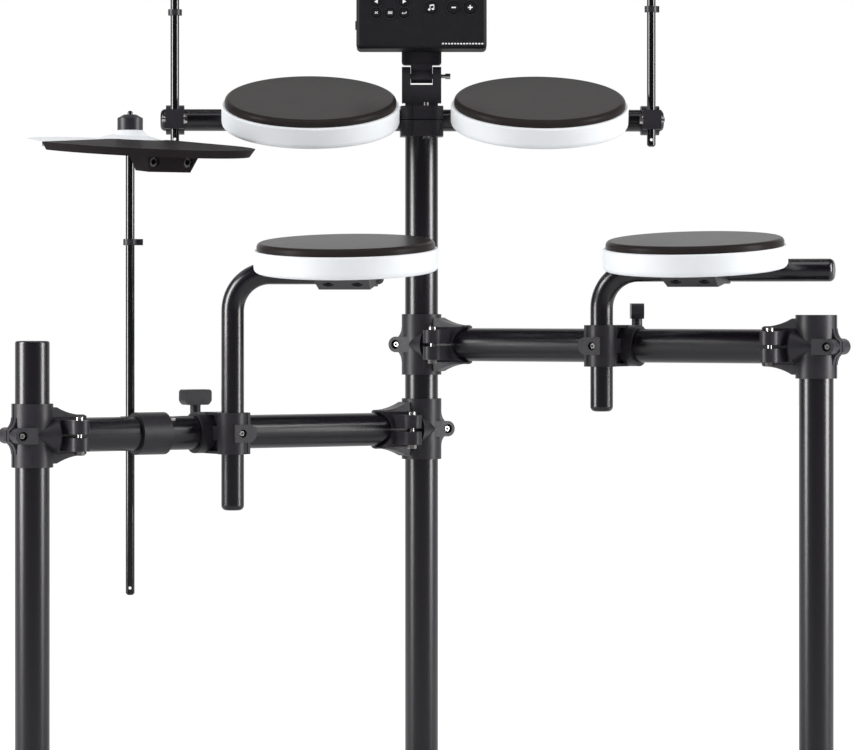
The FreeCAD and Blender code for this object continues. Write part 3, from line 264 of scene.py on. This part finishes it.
# Ways to make small pieces
def pin_tree():
    """Geometry nodes that stand a bored pin on every point, along the point's own direction."""
    tree = bpy.data.node_groups.new("bored_pins", "GeometryNodeTree")
    for name, kind in (
        ("Points", "Geometry"), ("Diameter", "Float"), ("Length", "Float"), ("Sides", "Int"),
        ("Bore Diameter", "Float"), ("Bore Depth", "Float"), ("Bore Sides", "Int"), ("Finish", "Material"),
    ):
        tree.interface.new_socket(name, in_out="INPUT", socket_type="NodeSocket" + kind)
    tree.interface.new_socket("Pins", in_out="OUTPUT", socket_type="NodeSocketGeometry")
    link = tree.links.new
    given = tree.nodes.new("NodeGroupInput").outputs

    def scaled(number, share):
        node = tree.nodes.new("ShaderNodeMath")
        node.operation = "MULTIPLY"
        link(number, node.inputs[0])
        node.inputs[1].default_value = share
        return node.outputs[0]

    def cylinder(diameter, sides, depth, middle):
        body = tree.nodes.new("GeometryNodeMeshCylinder")
        link(given[sides], body.inputs["Vertices"])
        link(scaled(given[diameter], 0.5), body.inputs["Radius"])
        link(depth, body.inputs["Depth"])
        rise = tree.nodes.new("ShaderNodeCombineXYZ")
        link(middle, rise.inputs["Z"])
        lift = tree.nodes.new("GeometryNodeTransform")
        link(body.outputs["Mesh"], lift.inputs["Geometry"])
        link(rise.outputs["Vector"], lift.inputs["Translation"])
        return lift.outputs["Geometry"]

    pin = cylinder("Diameter", "Sides", given["Length"], scaled(given["Length"], 0.5))
    bore = cylinder("Bore Diameter", "Bore Sides", scaled(given["Bore Depth"], 2.0), given["Length"])
    cut = tree.nodes.new("GeometryNodeMeshBoolean")
    cut.operation = "DIFFERENCE"
    cut.solver = "EXACT"
    link(pin, cut.inputs["Mesh 1"])
    link(bore, cut.inputs["Mesh 2"])
    along = tree.nodes.new("GeometryNodeInputNamedAttribute")
    along.data_type = "FLOAT_VECTOR"
    along.inputs["Name"].default_value = "along"
    aim = tree.nodes.new("FunctionNodeAlignRotationToVector")
    aim.axis = "Z"
    link(along.outputs["Attribute"], aim.inputs["Vector"])
    stand = tree.nodes.new("GeometryNodeInstanceOnPoints")
    link(given["Points"], stand.inputs["Points"])
    link(cut.outputs["Mesh"], stand.inputs["Instance"])
    link(aim.outputs["Rotation"], stand.inputs["Rotation"])
    real = tree.nodes.new("GeometryNodeRealizeInstances")
    link(stand.outputs["Instances"], real.inputs["Geometry"])
    paint = tree.nodes.new("GeometryNodeSetMaterial")
    link(real.outputs["Geometry"], paint.inputs["Geometry"])
    link(given["Finish"], paint.inputs["Material"])
    link(paint.outputs["Geometry"], tree.nodes.new("NodeGroupOutput").inputs["Pins"])
    return tree


PINS = pin_tree()
STEEL, INK, WINDOW = zinc_steel(), print_white(), smoked_window()
CREASE = math.radians(35)
DISC_CORNERS = 20
HEX = 6


def pins(name, body, spots, finish, size, bore, sides=32, bore_sides=32):
    """Bored pins of one size on a body: size is their diameter and length, bore its diameter and depth."""
    points = bpy.data.meshes.new(name + "_points")
    points.from_pydata([place for place, along in spots], [], [])
    aims = points.attributes.new("along", "FLOAT_VECTOR", "POINT")
    for aim, (place, along) in zip(aims.data, spots):
        aim.vector = along
    piece = bpy.data.objects.new(name, points)
    bpy.context.scene.collection.objects.link(piece)
    grow = piece.modifiers.new("pins", "NODES")
    grow.node_group = PINS
    settings = {
        "Diameter": size[0] * MM, "Length": size[1] * MM, "Sides": sides,
        "Bore Diameter": bore[0] * MM, "Bore Depth": bore[1] * MM, "Bore Sides": bore_sides,
        "Finish": finish,
    }
    for item in PINS.interface.items_tree:
        if item.name in settings:
            grow[item.identifier] = settings[item.name]
    made = bpy.data.meshes.new_from_object(piece.evaluated_get(bpy.context.evaluated_depsgraph_get()))
    made.name = name
    made.shade_smooth()
    made.set_sharp_from_angle(angle=CREASE)
    piece.modifiers.clear()
    piece.data = made
    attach(piece, body)
    return piece


def plates(name, body, outlines, grid, low, high, finish):
    """Flat pieces cut to outlines in a frame's x and y, from z low to high, in millimetres."""
    corners, faces = [], []
    for outline in outlines:
        count = len(outline)
        floor = range(len(corners), len(corners) + count)
        for height in (low, high):
            corners += [grid @ (Vector((x, y, height)) * MM) for x, y in outline]
        faces.append([i for i in reversed(floor)])
        faces.append([i + count for i in floor])
        for i in floor:
            after = floor[(i - floor[0] + 1) % count]
            faces.append([i, after, after + count, i + count])
    mesh = bpy.data.meshes.new(name)
    mesh.from_pydata(corners, [], faces)
    mesh.materials.append(finish)
    piece = bpy.data.objects.new(name, mesh)
    bpy.context.scene.collection.objects.link(piece)
    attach(piece, body)
    return piece


def rectangle(x, y, width, height):
    return [(x - width / 2, y - height / 2), (x + width / 2, y - height / 2),
            (x + width / 2, y + height / 2), (x - width / 2, y + height / 2)]


def stroke(start, end, width):
    """A straight stroke of a sign between two points."""
    run = Vector(end) - Vector(start)
    side = Vector((-run.y, run.x)).normalized() * width / 2
    return [tuple(Vector(start) - side), tuple(Vector(end) - side), tuple(Vector(end) + side),
            tuple(Vector(start) + side)]


def disc(x, y, width, height):
    turns = [math.tau * i / DISC_CORNERS for i in range(DISC_CORNERS)]
    return [(x + width / 2 * math.cos(turn), y + height / 2 * math.sin(turn)) for turn in turns]


# Screws, bolts and nuts of the stand's clamps, in each clamp's own frame: places in millimetres,
# and each pin's size (diameter, length) and bore (diameter, depth)
EAR_REACH, EAR_FLOOR = 22.2, 17.7
EAR_SCREW, EAR_NUT = ((5.8, 38.4), (3.4, 2.2)), ((9.6, 4.2), (4.6, 3.0))
BOLT_PLACE, BOLT_REACH, BOLT_HALF = 37.5, 40.7, 17.0
BOLT_HEAD, BOLT_SHANK = ((9.0, 3.6), (4.6, 2.2)), ((5.8, 34.0), (1.0, 0.2))
BOLT_NUT = ((10.4, 4.6), (5.0, 3.0))
RACK_LUG, RACK_SCREW_SIDE, RACK_SCREW_FLOOR = 43.0, 3.3, 57.5
RACK_SCREW = ((5.6, 3.6), (3.4, 2.0))
HIHAT_PLACE, HIHAT_SCREW_SPOT = 355.0, (17.0, -14.5, 16.0)
HIHAT_SCREW = ((5.4, 6.5), (2.8, 1.6))


def fit_clamp_screws():
    for bar, side, pad, rack_side in (("left", 1, "snare", -1), ("right", -1, "floor_tom", 1)):
        near, far = place_of(bar + "_bar_swing"), place_of(bar + "_leg_swing")
        inner, outer = basis(near, far - near), basis(far, near - far)
        screws, nuts, heads, shanks, feet = [], [], [], [], []
        for grid, front in ((inner, side), (outer, -side)):
            screws.append(spot(grid, (-EAR_REACH, -front * EAR_FLOOR, 0), (0, front, 0)))
            nuts.append(spot(grid, (-EAR_REACH, -front * EAR_FLOOR, 0), (0, -front, 0)))
            bolt = (BOLT_PLACE, front * BOLT_REACH)
            heads.append(spot(grid, (*bolt, BOLT_HALF), (0, 0, 1)))
            shanks.append(spot(grid, (*bolt, -BOLT_HALF), (0, 0, 1)))
            feet.append(spot(grid, (*bolt, -BOLT_HALF), (0, 0, -1)))
        body = bar + "_bar"
        pins(body + "_ear_screws", body, screws, STEEL, *EAR_SCREW, bore_sides=HEX)
        pins(body + "_ear_nuts", body, nuts, STEEL, *EAR_NUT, sides=HEX)
        pins(body + "_bolt_heads", body, heads, STEEL, *BOLT_HEAD, bore_sides=HEX)
        pins(body + "_bolt_shanks", body, shanks, STEEL, *BOLT_SHANK)
        pins(body + "_bolt_nuts", body, feet, STEEL, *BOLT_NUT, sides=HEX)
        holder = (inner if bar == "left" else outer).copy()
        holder.translation = place_of(pad + "_knob_turn")
        rack = spot(holder, (rack_side * RACK_SCREW_SIDE, RACK_LUG + RACK_SCREW_FLOOR, 0), (0, 1, 0))
        pins(pad + "_rack_screw", body, [rack], STEEL, *RACK_SCREW, bore_sides=HEX)
    left = place_of("left_bar_swing")
    hihat = basis(left, left - place_of("left_leg_swing")) @ moved(x=-HIHAT_PLACE)
    screw = spot(hihat, HIHAT_SCREW_SPOT, (1, 0, 0))
    pins("hihat_clamp_screw", "left_bar", [screw], STEEL, *HIHAT_SCREW, bore_sides=HEX)


# Bolts of the cross pipe's clamps, the yoke's stud and the clips on the cymbal rods
PIPE_CLAMPS = {"crash": (-285.0, -1), "ride": (265.0, 1)}
CLAMP_HALF, BOLT_FRONT = 10.5, 31.0
PIPE_BOLT, PIPE_WASHER = ((5.9, 25.0), (3.0, 1.6)), ((11.0, 1.2), (5.0, 0.6))
PIPE_NUT = ((9.4, 3.8), (5.0, 2.0))
JAW_PLACE, JAW_TOP, JAW_BOTTOM = (4.6, -19.0), 15.5, -18.5
JAW_BOLT, JAW_NUT = ((6.4, 4.6), (3.6, 2.4)), ((8.4, 3.6), (4.6, 2.0))
STUD_REACH, STUD = 22.3, ((4.6, 7.0), (1.0, 0.2))
STUD_NUT_REACH, STUD_NUT = 27.4, ((6.8, 6.0), (3.0, 1.6))
CLIP_HEIGHTS = {"hihat": 684.0, "crash": 950.0, "ride": 955.0}
CLIP_DIA, CLIP_HEIGHT, CLIP_BORE = 15.6, 7.0, 10.1
HOOK_REACH = {"hihat": 14.3, "crash": 8.0, "ride": 9.2}
HOOK_ROOT, HOOK_SIDE, HOOK_WIDTH = CLIP_BORE / 2 + 1.0, 1.5, 6.0


def fit_rod_pieces():
    pipe = basis(place_of("left_tom_tilt"), axis_of("left_tom_tilt"))
    for name, (place, outward) in PIPE_CLAMPS.items():
        grid = pipe @ moved(x=place, y=-BOLT_FRONT)
        body = name + "_clamp"
        end = spot(grid, (-outward * CLAMP_HALF, 0, 0), (outward, 0, 0))
        side = spot(grid, (-outward * CLAMP_HALF, 0, 0), (-outward, 0, 0))
        pins(name + "_bolt", body, [end], STEEL, *PIPE_BOLT)
        pins(name + "_bolt_washer", body, [side], STEEL, *PIPE_WASHER)
        pins(name + "_bolt_nut", body, [side], STEEL, *PIPE_NUT, sides=HEX)
    jaw = pipe @ moved(*JAW_PLACE)
    pins("top_clamp_bolt", "stand", [spot(jaw, (0, 0, JAW_TOP), (0, 0, 1))], STEEL, *JAW_BOLT, bore_sides=HEX)
    pins("top_clamp_nut", "stand", [spot(jaw, (0, 0, JAW_BOTTOM), (0, 0, -1))], STEEL, *JAW_NUT, sides=HEX)
    yoke = basis(place_of("module_tilt"), axis_of("module_tilt"))
    pins("yoke_stud", "stand", [spot(yoke, (STUD_REACH, 0, 0), (1, 0, 0))], STEEL, *STUD)
    pins("yoke_nut", "stand", [spot(yoke, (STUD_NUT_REACH, 0, 0), (1, 0, 0))], STEEL, *STUD_NUT)
    for name, height in CLIP_HEIGHTS.items():
        rod = place_of(name + "_swing")
        rod.z = height * MM
        grid = basis(rod, Vector((1, 0, 0)))
        ring = spot(grid, (0, 0, -CLIP_HEIGHT / 2), (0, 0, 1))
        pins(name + "_clip", name + "_rod", [ring], SLOT_FINISH["clamp_plastic"], (CLIP_DIA, CLIP_HEIGHT),
             (CLIP_BORE, 2 * CLIP_HEIGHT))
        reach = HOOK_REACH[name]
        hook = rectangle((HOOK_ROOT + reach) / 2, HOOK_SIDE, reach - HOOK_ROOT, HOOK_WIDTH)
        plates(name + "_clip_hook", name + "_rod", [hook], grid, -CLIP_HEIGHT / 2, CLIP_HEIGHT / 2,
               SLOT_FINISH["clamp_plastic"])


# Jack bushings of the drum pads and the cymbals
PADS = {
    "snare": (134.5, 6.0), "floor_tom": (117.4, 6.0), "left_tom": (-129.0, 18.0), "right_tom": (134.0, 18.0),
}
PAD_FORWARD, PAD_RISE = -45.0, 6.0
PAD_JACK, PAD_JACK_IN = (-29.06, -11.47), Vector((0.0, 0.4472, 0.8944))
PAD_JACK_SPACING, PAD_JACK_DEPTH = 32.0, 7.0
CYMBALS = {"hihat": 5.0, "crash": 8.0, "ride": 8.0}
CYMBAL_JACK, CYMBAL_JACK_SPACING = (-82.5, -13.6), 44.0
BUSHING, BUSHING_BORE = (11.8, 5.5), (6.4, 5.0)


def fit_jacks():
    black = SLOT_FINISH["clamp_plastic"]
    for name, (place, tilt) in PADS.items():
        tube = basis(place_of(name + "_tilt"), axis_of(name + "_tilt"))
        grid = tube @ moved(x=place) @ turned_x(tilt) @ moved(y=PAD_FORWARD, z=PAD_RISE)
        floor = Vector((0.0, *PAD_JACK)) + PAD_JACK_IN * PAD_JACK_DEPTH
        across = Vector((PAD_JACK_SPACING / 2, 0, 0))
        spots = [spot(grid, floor + side * across, -PAD_JACK_IN) for side in (-1, 1)]
        pins(name + "_jacks", name + "_pad", spots, black, BUSHING, BUSHING_BORE)
    for name, tilt in CYMBALS.items():
        grid = basis(place_of(name + "_swing"), axis_of(name + "_swing")) @ turned_x(tilt)
        spots = [spot(grid, (side * CYMBAL_JACK_SPACING / 2, *CYMBAL_JACK), (0, -1, 0)) for side in (-1, 1)]
        pins(name + "_jacks", name + "_cymbal", spots, black, BUSHING, BUSHING_BORE)


# The module's face: places across from its middle and up from its bottom edge, and the keys' diameters
FACE_FORWARD, FACE_RISE = 45.0, 27.0
SMALL_KEY, LARGE_KEY = 11, 14
KEY_PLACES = {
    "key_left": (-52, 54, SMALL_KEY), "key_right": (-20, 54, SMALL_KEY), "key_exit": (-52, 41, SMALL_KEY),
    "key_menu": (-36, 41, SMALL_KEY), "key_enter": (-20, 41, SMALL_KEY), "key_kit": (11, 47, LARGE_KEY),
    "key_minus": (37, 47, LARGE_KEY), "key_plus": (56, 47, LARGE_KEY),
}
RING_OVER, RING_BORE_OVER, RING_SUNK, RING_HEIGHT, RING_BORE_DEPTH, RING_SIDES = 3.6, 1.6, 0.2, 0.6, 2.0, 48
KEY_TOP, INK_THICKNESS = 1.2, 0.15
NAME_START, NAME_END, NAME_UP, NAME_DASHES, NAME_DASH = 23.0, 71.5, 5.3, 14, (2.3, 1.5)
WINDOW_PLACE, WINDOW_THICKNESS = (-30.0, 106.0, 70.0, 38.0), 0.5
DIAL, DIAL_FRONT, DIAL_RADIUS = (46.0, 106.0), 14.3, 11.2
FLUTES, FLUTE_FOOT, FLUTE_SIDES, FLUTE = 24, 0.8, 12, ((2.0, DIAL_FRONT - 1.4), (0.6, 0.2))
MARK_RISE, MARK = 6.4, (1.4, 6.0)
SIDE_JACK_SPOT, SIDE_JACK = (-74.5, 29.0, -20.0), ((10.5, 1.9), (6.4, 1.2))
BACK_JACKS, BACK_JACK_UP, BACK_JACK_IN = (-62.0, -44.0, 44.0, 62.0), 45.0, -39.5
BACK_JACK = ((11.0, 2.2), (6.4, 1.8))


def signs():
    """Each key's printed sign, as outlines about the key's middle."""
    head, bar = 2.4, 1.5
    return {
        "key_left": [[(-head, 0), (head * 0.7, -head), (head * 0.7, head)]],
        "key_right": [[(head, 0), (-head * 0.7, head), (-head * 0.7, -head)]],
        "key_exit": [stroke((-1.6, -1.2), (1.6, 1.2), 0.7), stroke((-1.6, 1.2), (1.6, -1.2), 0.7)],
        "key_menu": [rectangle(0, lift, 5.0, 0.6) for lift in (-1.1, 0, 1.1)],
        "key_enter": [stroke((2.4, 1.2), (2.4, -0.6), 0.7), rectangle(0.6, -0.6, 3.8, 0.7),
                      [(-2.8, -0.6), (-1.0, -1.7), (-1.0, 0.5)]],
        "key_kit": [disc(-2.3, -2.4, 3.0, 2.2), disc(2.1, -1.8, 3.0, 2.2), rectangle(-1.2, 0.2, 0.8, 4.4),
                    rectangle(3.2, 0.8, 0.8, 4.4), stroke((-1.6, 2.4), (3.6, 3.0), 1.4)],
        "key_minus": [rectangle(0, 0, 5.0, bar)],
        "key_plus": [rectangle(0, 0, 5.4, bar)] + [rectangle(0, lift, bar, 1.95) for lift in (1.725, -1.725)],
    }


def fit_module():
    inward = axis_of("volume_turn")
    pivot = place_of("module_tilt")
    upward = Vector((1, 0, 0)).cross(inward)
    face = basis(pivot - inward * FACE_FORWARD * MM + upward * FACE_RISE * MM, Vector((1, 0, 0)), -inward)
    black = SLOT_FINISH["clamp_plastic"]
    for size in (SMALL_KEY, LARGE_KEY):
        places = [(x, y, -RING_SUNK) for x, y, dia in KEY_PLACES.values() if dia == size]
        spots = [spot(face, place, (0, 0, 1)) for place in places]
        pins("key_rings_%d" % size, "module", spots, black, (size + RING_OVER, RING_HEIGHT),
             (size + RING_BORE_OVER, RING_BORE_DEPTH), sides=RING_SIDES, bore_sides=RING_SIDES)
    for key, outlines in signs().items():
        grid = face @ moved(*KEY_PLACES[key][:2])
        plates(key + "_sign", key, outlines, grid, KEY_TOP, KEY_TOP + INK_THICKNESS, INK)
    step = (NAME_END - NAME_START) / NAME_DASHES
    dashes = [rectangle(NAME_START + step * (i + 0.5), NAME_UP, *NAME_DASH) for i in range(NAME_DASHES)]
    plates("module_dashes", "module", dashes, face, 0.0, INK_THICKNESS, INK)
    plates("module_window", "module", [rectangle(*WINDOW_PLACE)], face, 0.0, WINDOW_THICKNESS, WINDOW)
    around = [math.tau * i / FLUTES for i in range(FLUTES)]
    dial_x, dial_y = DIAL
    rim = [(dial_x + DIAL_RADIUS * math.cos(turn), dial_y + DIAL_RADIUS * math.sin(turn)) for turn in around]
    flutes = [spot(face, (x, y, FLUTE_FOOT), (0, 0, 1)) for x, y in rim]
    pins("volume_dial_flutes", "volume_dial", flutes, SLOT_FINISH["key_rubber"], *FLUTE, sides=FLUTE_SIDES)
    mark = rectangle(dial_x, dial_y + MARK_RISE, *MARK)
    plates("volume_dial_mark", "volume_dial", [mark], face, DIAL_FRONT, DIAL_FRONT + INK_THICKNESS, INK)
    side = [spot(face, SIDE_JACK_SPOT, (-1, 0, 0))]
    pins("module_side_jack", "module", side, black, *SIDE_JACK)
    back = [spot(face, (x, BACK_JACK_UP, BACK_JACK_IN), (0, 0, -1)) for x in BACK_JACKS]
    pins("module_back_jacks", "module", back, black, *BACK_JACK)


# Studio, in metres and watts
WORLD_LIGHT, WORLD_FRONT, WORLD_REACH = 0.46, 0.02, (0.45, 1.0)
FLOOR_HALF, FLOOR_GREY, FLOOR_ROUGHNESS, FLOOR_SHADE_SHARE = 20.0, 0.82, 0.9, 0.45
FLOOR_MIRROR, FLOOR_MIRROR_REACH = (0.03, 0.5), (-0.6, 0.6)
FLOOR_GLOW, FEET_MIDDLE, FEET_REACH = (1.05, 1.6), (0.0, -0.2, 0.0), (0.75, 1.15)
LAMP_TARGET = (0.0, -0.1, 0.65)
SOFTBOXES = {
    "left_box": ((-2.38, -0.87, 1.2), (0.85, 1.9), 61.0),
    "right_box": ((2.40, -0.79, 1.2), (0.85, 1.9), 57.0),
    "top_box": ((0.0, -0.8, 3.0), (2.2, 1.2), 13.0),
}


def camera():
    lens = bpy.data.cameras.new("photo_camera")
    lens.sensor_fit = "HORIZONTAL"
    lens.sensor_width = SENSOR
    lens.lens = FOCAL_PIXELS / PICTURE_WIDTH * SENSOR
    lens.shift_y = (HORIZON_PIXEL - PICTURE_HEIGHT / 2) / PICTURE_WIDTH
    eye = bpy.data.objects.new("photo_camera", lens)
    eye.location = EYE
    eye.rotation_euler = (math.radians(90), 0, 0)
    bpy.context.scene.collection.objects.link(eye)
    bpy.context.scene.camera = eye


def seen_ray(tree):
    """1 for rays from the camera, in a reflection or through glass, and 0 for the light on surfaces."""
    path = tree.nodes.new("ShaderNodeLightPath")
    total = path.outputs["Is Camera Ray"]
    for name in ("Is Glossy Ray", "Is Transmission Ray"):
        either = tree.nodes.new("ShaderNodeMath")
        either.operation = "MAXIMUM"
        tree.links.new(total, either.inputs[0])
        tree.links.new(path.outputs[name], either.inputs[1])
        total = either.outputs[0]
    return total


def eased(tree, number, reach, levels):
    """A smooth run from the first to the second level, as a number goes over its reach."""
    node = tree.nodes.new("ShaderNodeMapRange")
    node.interpolation_type = "SMOOTHSTEP"
    for name, value in zip(("From Min", "From Max", "To Min", "To Max"), (*reach, *levels)):
        node.inputs[name].default_value = value
    tree.links.new(number, node.inputs["Value"])
    return node.outputs["Result"]


def dim_front(tree, coordinates, reach, levels):
    """A strength of 1, which reflections see go from the first to the second level over a reach of depth."""
    split = tree.nodes.new("ShaderNodeSeparateXYZ")
    tree.links.new(tree.nodes.new("ShaderNodeTexCoord").outputs[coordinates], split.inputs["Vector"])
    seen = tree.nodes.new("ShaderNodeMix")
    seen.inputs["A"].default_value = 1.0
    tree.links.new(tree.nodes.new("ShaderNodeLightPath").outputs["Is Glossy Ray"], seen.inputs["Factor"])
    tree.links.new(eased(tree, split.outputs["Y"], reach, levels), seen.inputs["B"])
    return seen.outputs["Result"]


def white_world():
    """A white studio that lights the object at a plain level, with a dim room in front in reflections."""
    world = bpy.data.worlds.new("studio")
    world.use_nodes = True
    tree = world.node_tree
    level = tree.nodes.new("ShaderNodeMix")
    level.inputs["A"].default_value = WORLD_LIGHT
    tree.links.new(seen_ray(tree), level.inputs["Factor"])
    tree.links.new(dim_front(tree, "Generated", WORLD_REACH, (WORLD_FRONT, 1.0)), level.inputs["B"])
    tree.links.new(level.outputs["Result"], tree.nodes["Background"].inputs["Strength"])
    tree.nodes["Background"].inputs["Color"].default_value = (1.0, 1.0, 1.0, 1.0)
    bpy.context.scene.world = world


def white_floor():
    """A pale floor that looks white and shows the object's shadow near its feet."""
    mesh = bpy.data.meshes.new("floor")
    corners = [(x * FLOOR_HALF, y * FLOOR_HALF, 0) for x, y in ((-1, -1), (1, -1), (1, 1), (-1, 1))]
    mesh.from_pydata(corners, [], [(0, 1, 2, 3)])
    floor = bpy.data.objects.new("floor", mesh)
    bpy.context.scene.collection.objects.link(floor)
    paint = bpy.data.materials.new("floor_white")
    paint.use_nodes = True
    tree = paint.node_tree
    shader = tree.nodes["Principled BSDF"]
    shader.inputs["Base Color"].default_value = (FLOOR_GREY, FLOOR_GREY, FLOOR_GREY, 1.0)
    shader.inputs["Roughness"].default_value = FLOOR_ROUGHNESS
    shader.inputs["Specular IOR Level"].default_value = 0.0
    emission = tree.nodes.new("ShaderNodeEmission")
    away = tree.nodes.new("ShaderNodeVectorMath")
    away.operation = "DISTANCE"
    away.inputs[1].default_value = FEET_MIDDLE
    tree.links.new(tree.nodes.new("ShaderNodeTexCoord").outputs["Object"], away.inputs[0])
    strength = tree.nodes.new("ShaderNodeMath")
    strength.operation = "MULTIPLY"
    tree.links.new(eased(tree, away.outputs["Value"], FEET_REACH, FLOOR_GLOW), strength.inputs[0])
    tree.links.new(dim_front(tree, "Object", FLOOR_MIRROR_REACH, FLOOR_MIRROR), strength.inputs[1])
    tree.links.new(strength.outputs["Value"], emission.inputs["Strength"])
    share = tree.nodes.new("ShaderNodeMapRange")
    share.inputs["To Max"].default_value = 1.0 - FLOOR_SHADE_SHARE
    tree.links.new(seen_ray(tree), share.inputs["Value"])
    mix = tree.nodes.new("ShaderNodeMixShader")
    tree.links.new(share.outputs["Result"], mix.inputs["Fac"])
    tree.links.new(shader.outputs["BSDF"], mix.inputs[1])
    tree.links.new(emission.outputs["Emission"], mix.inputs[2])
    tree.links.new(mix.outputs["Shader"], tree.nodes["Material Output"].inputs["Surface"])
    mesh.materials.append(paint)


def softbox(name, place, size, watts):
    lamp = bpy.data.lights.new(name, "AREA")
    lamp.shape = "RECTANGLE"
    lamp.size, lamp.size_y = size
    lamp.energy = watts
    light = bpy.data.objects.new(name, lamp)
    light.location = place
    way = Vector(LAMP_TARGET) - Vector(place)
    light.rotation_euler = way.to_track_quat("-Z", "Y").to_euler()
    bpy.context.scene.collection.objects.link(light)


def studio():
    camera()
    white_world()
    white_floor()
    for name, (place, size, watts) in SOFTBOXES.items():
        softbox(name, place, size, watts)


dress_cad_nodes()
fit_clamp_screws()
fit_rod_pieces()
fit_jacks()
fit_module()
studio()
bpy.context.scene.view_settings.view_transform = "Standard"
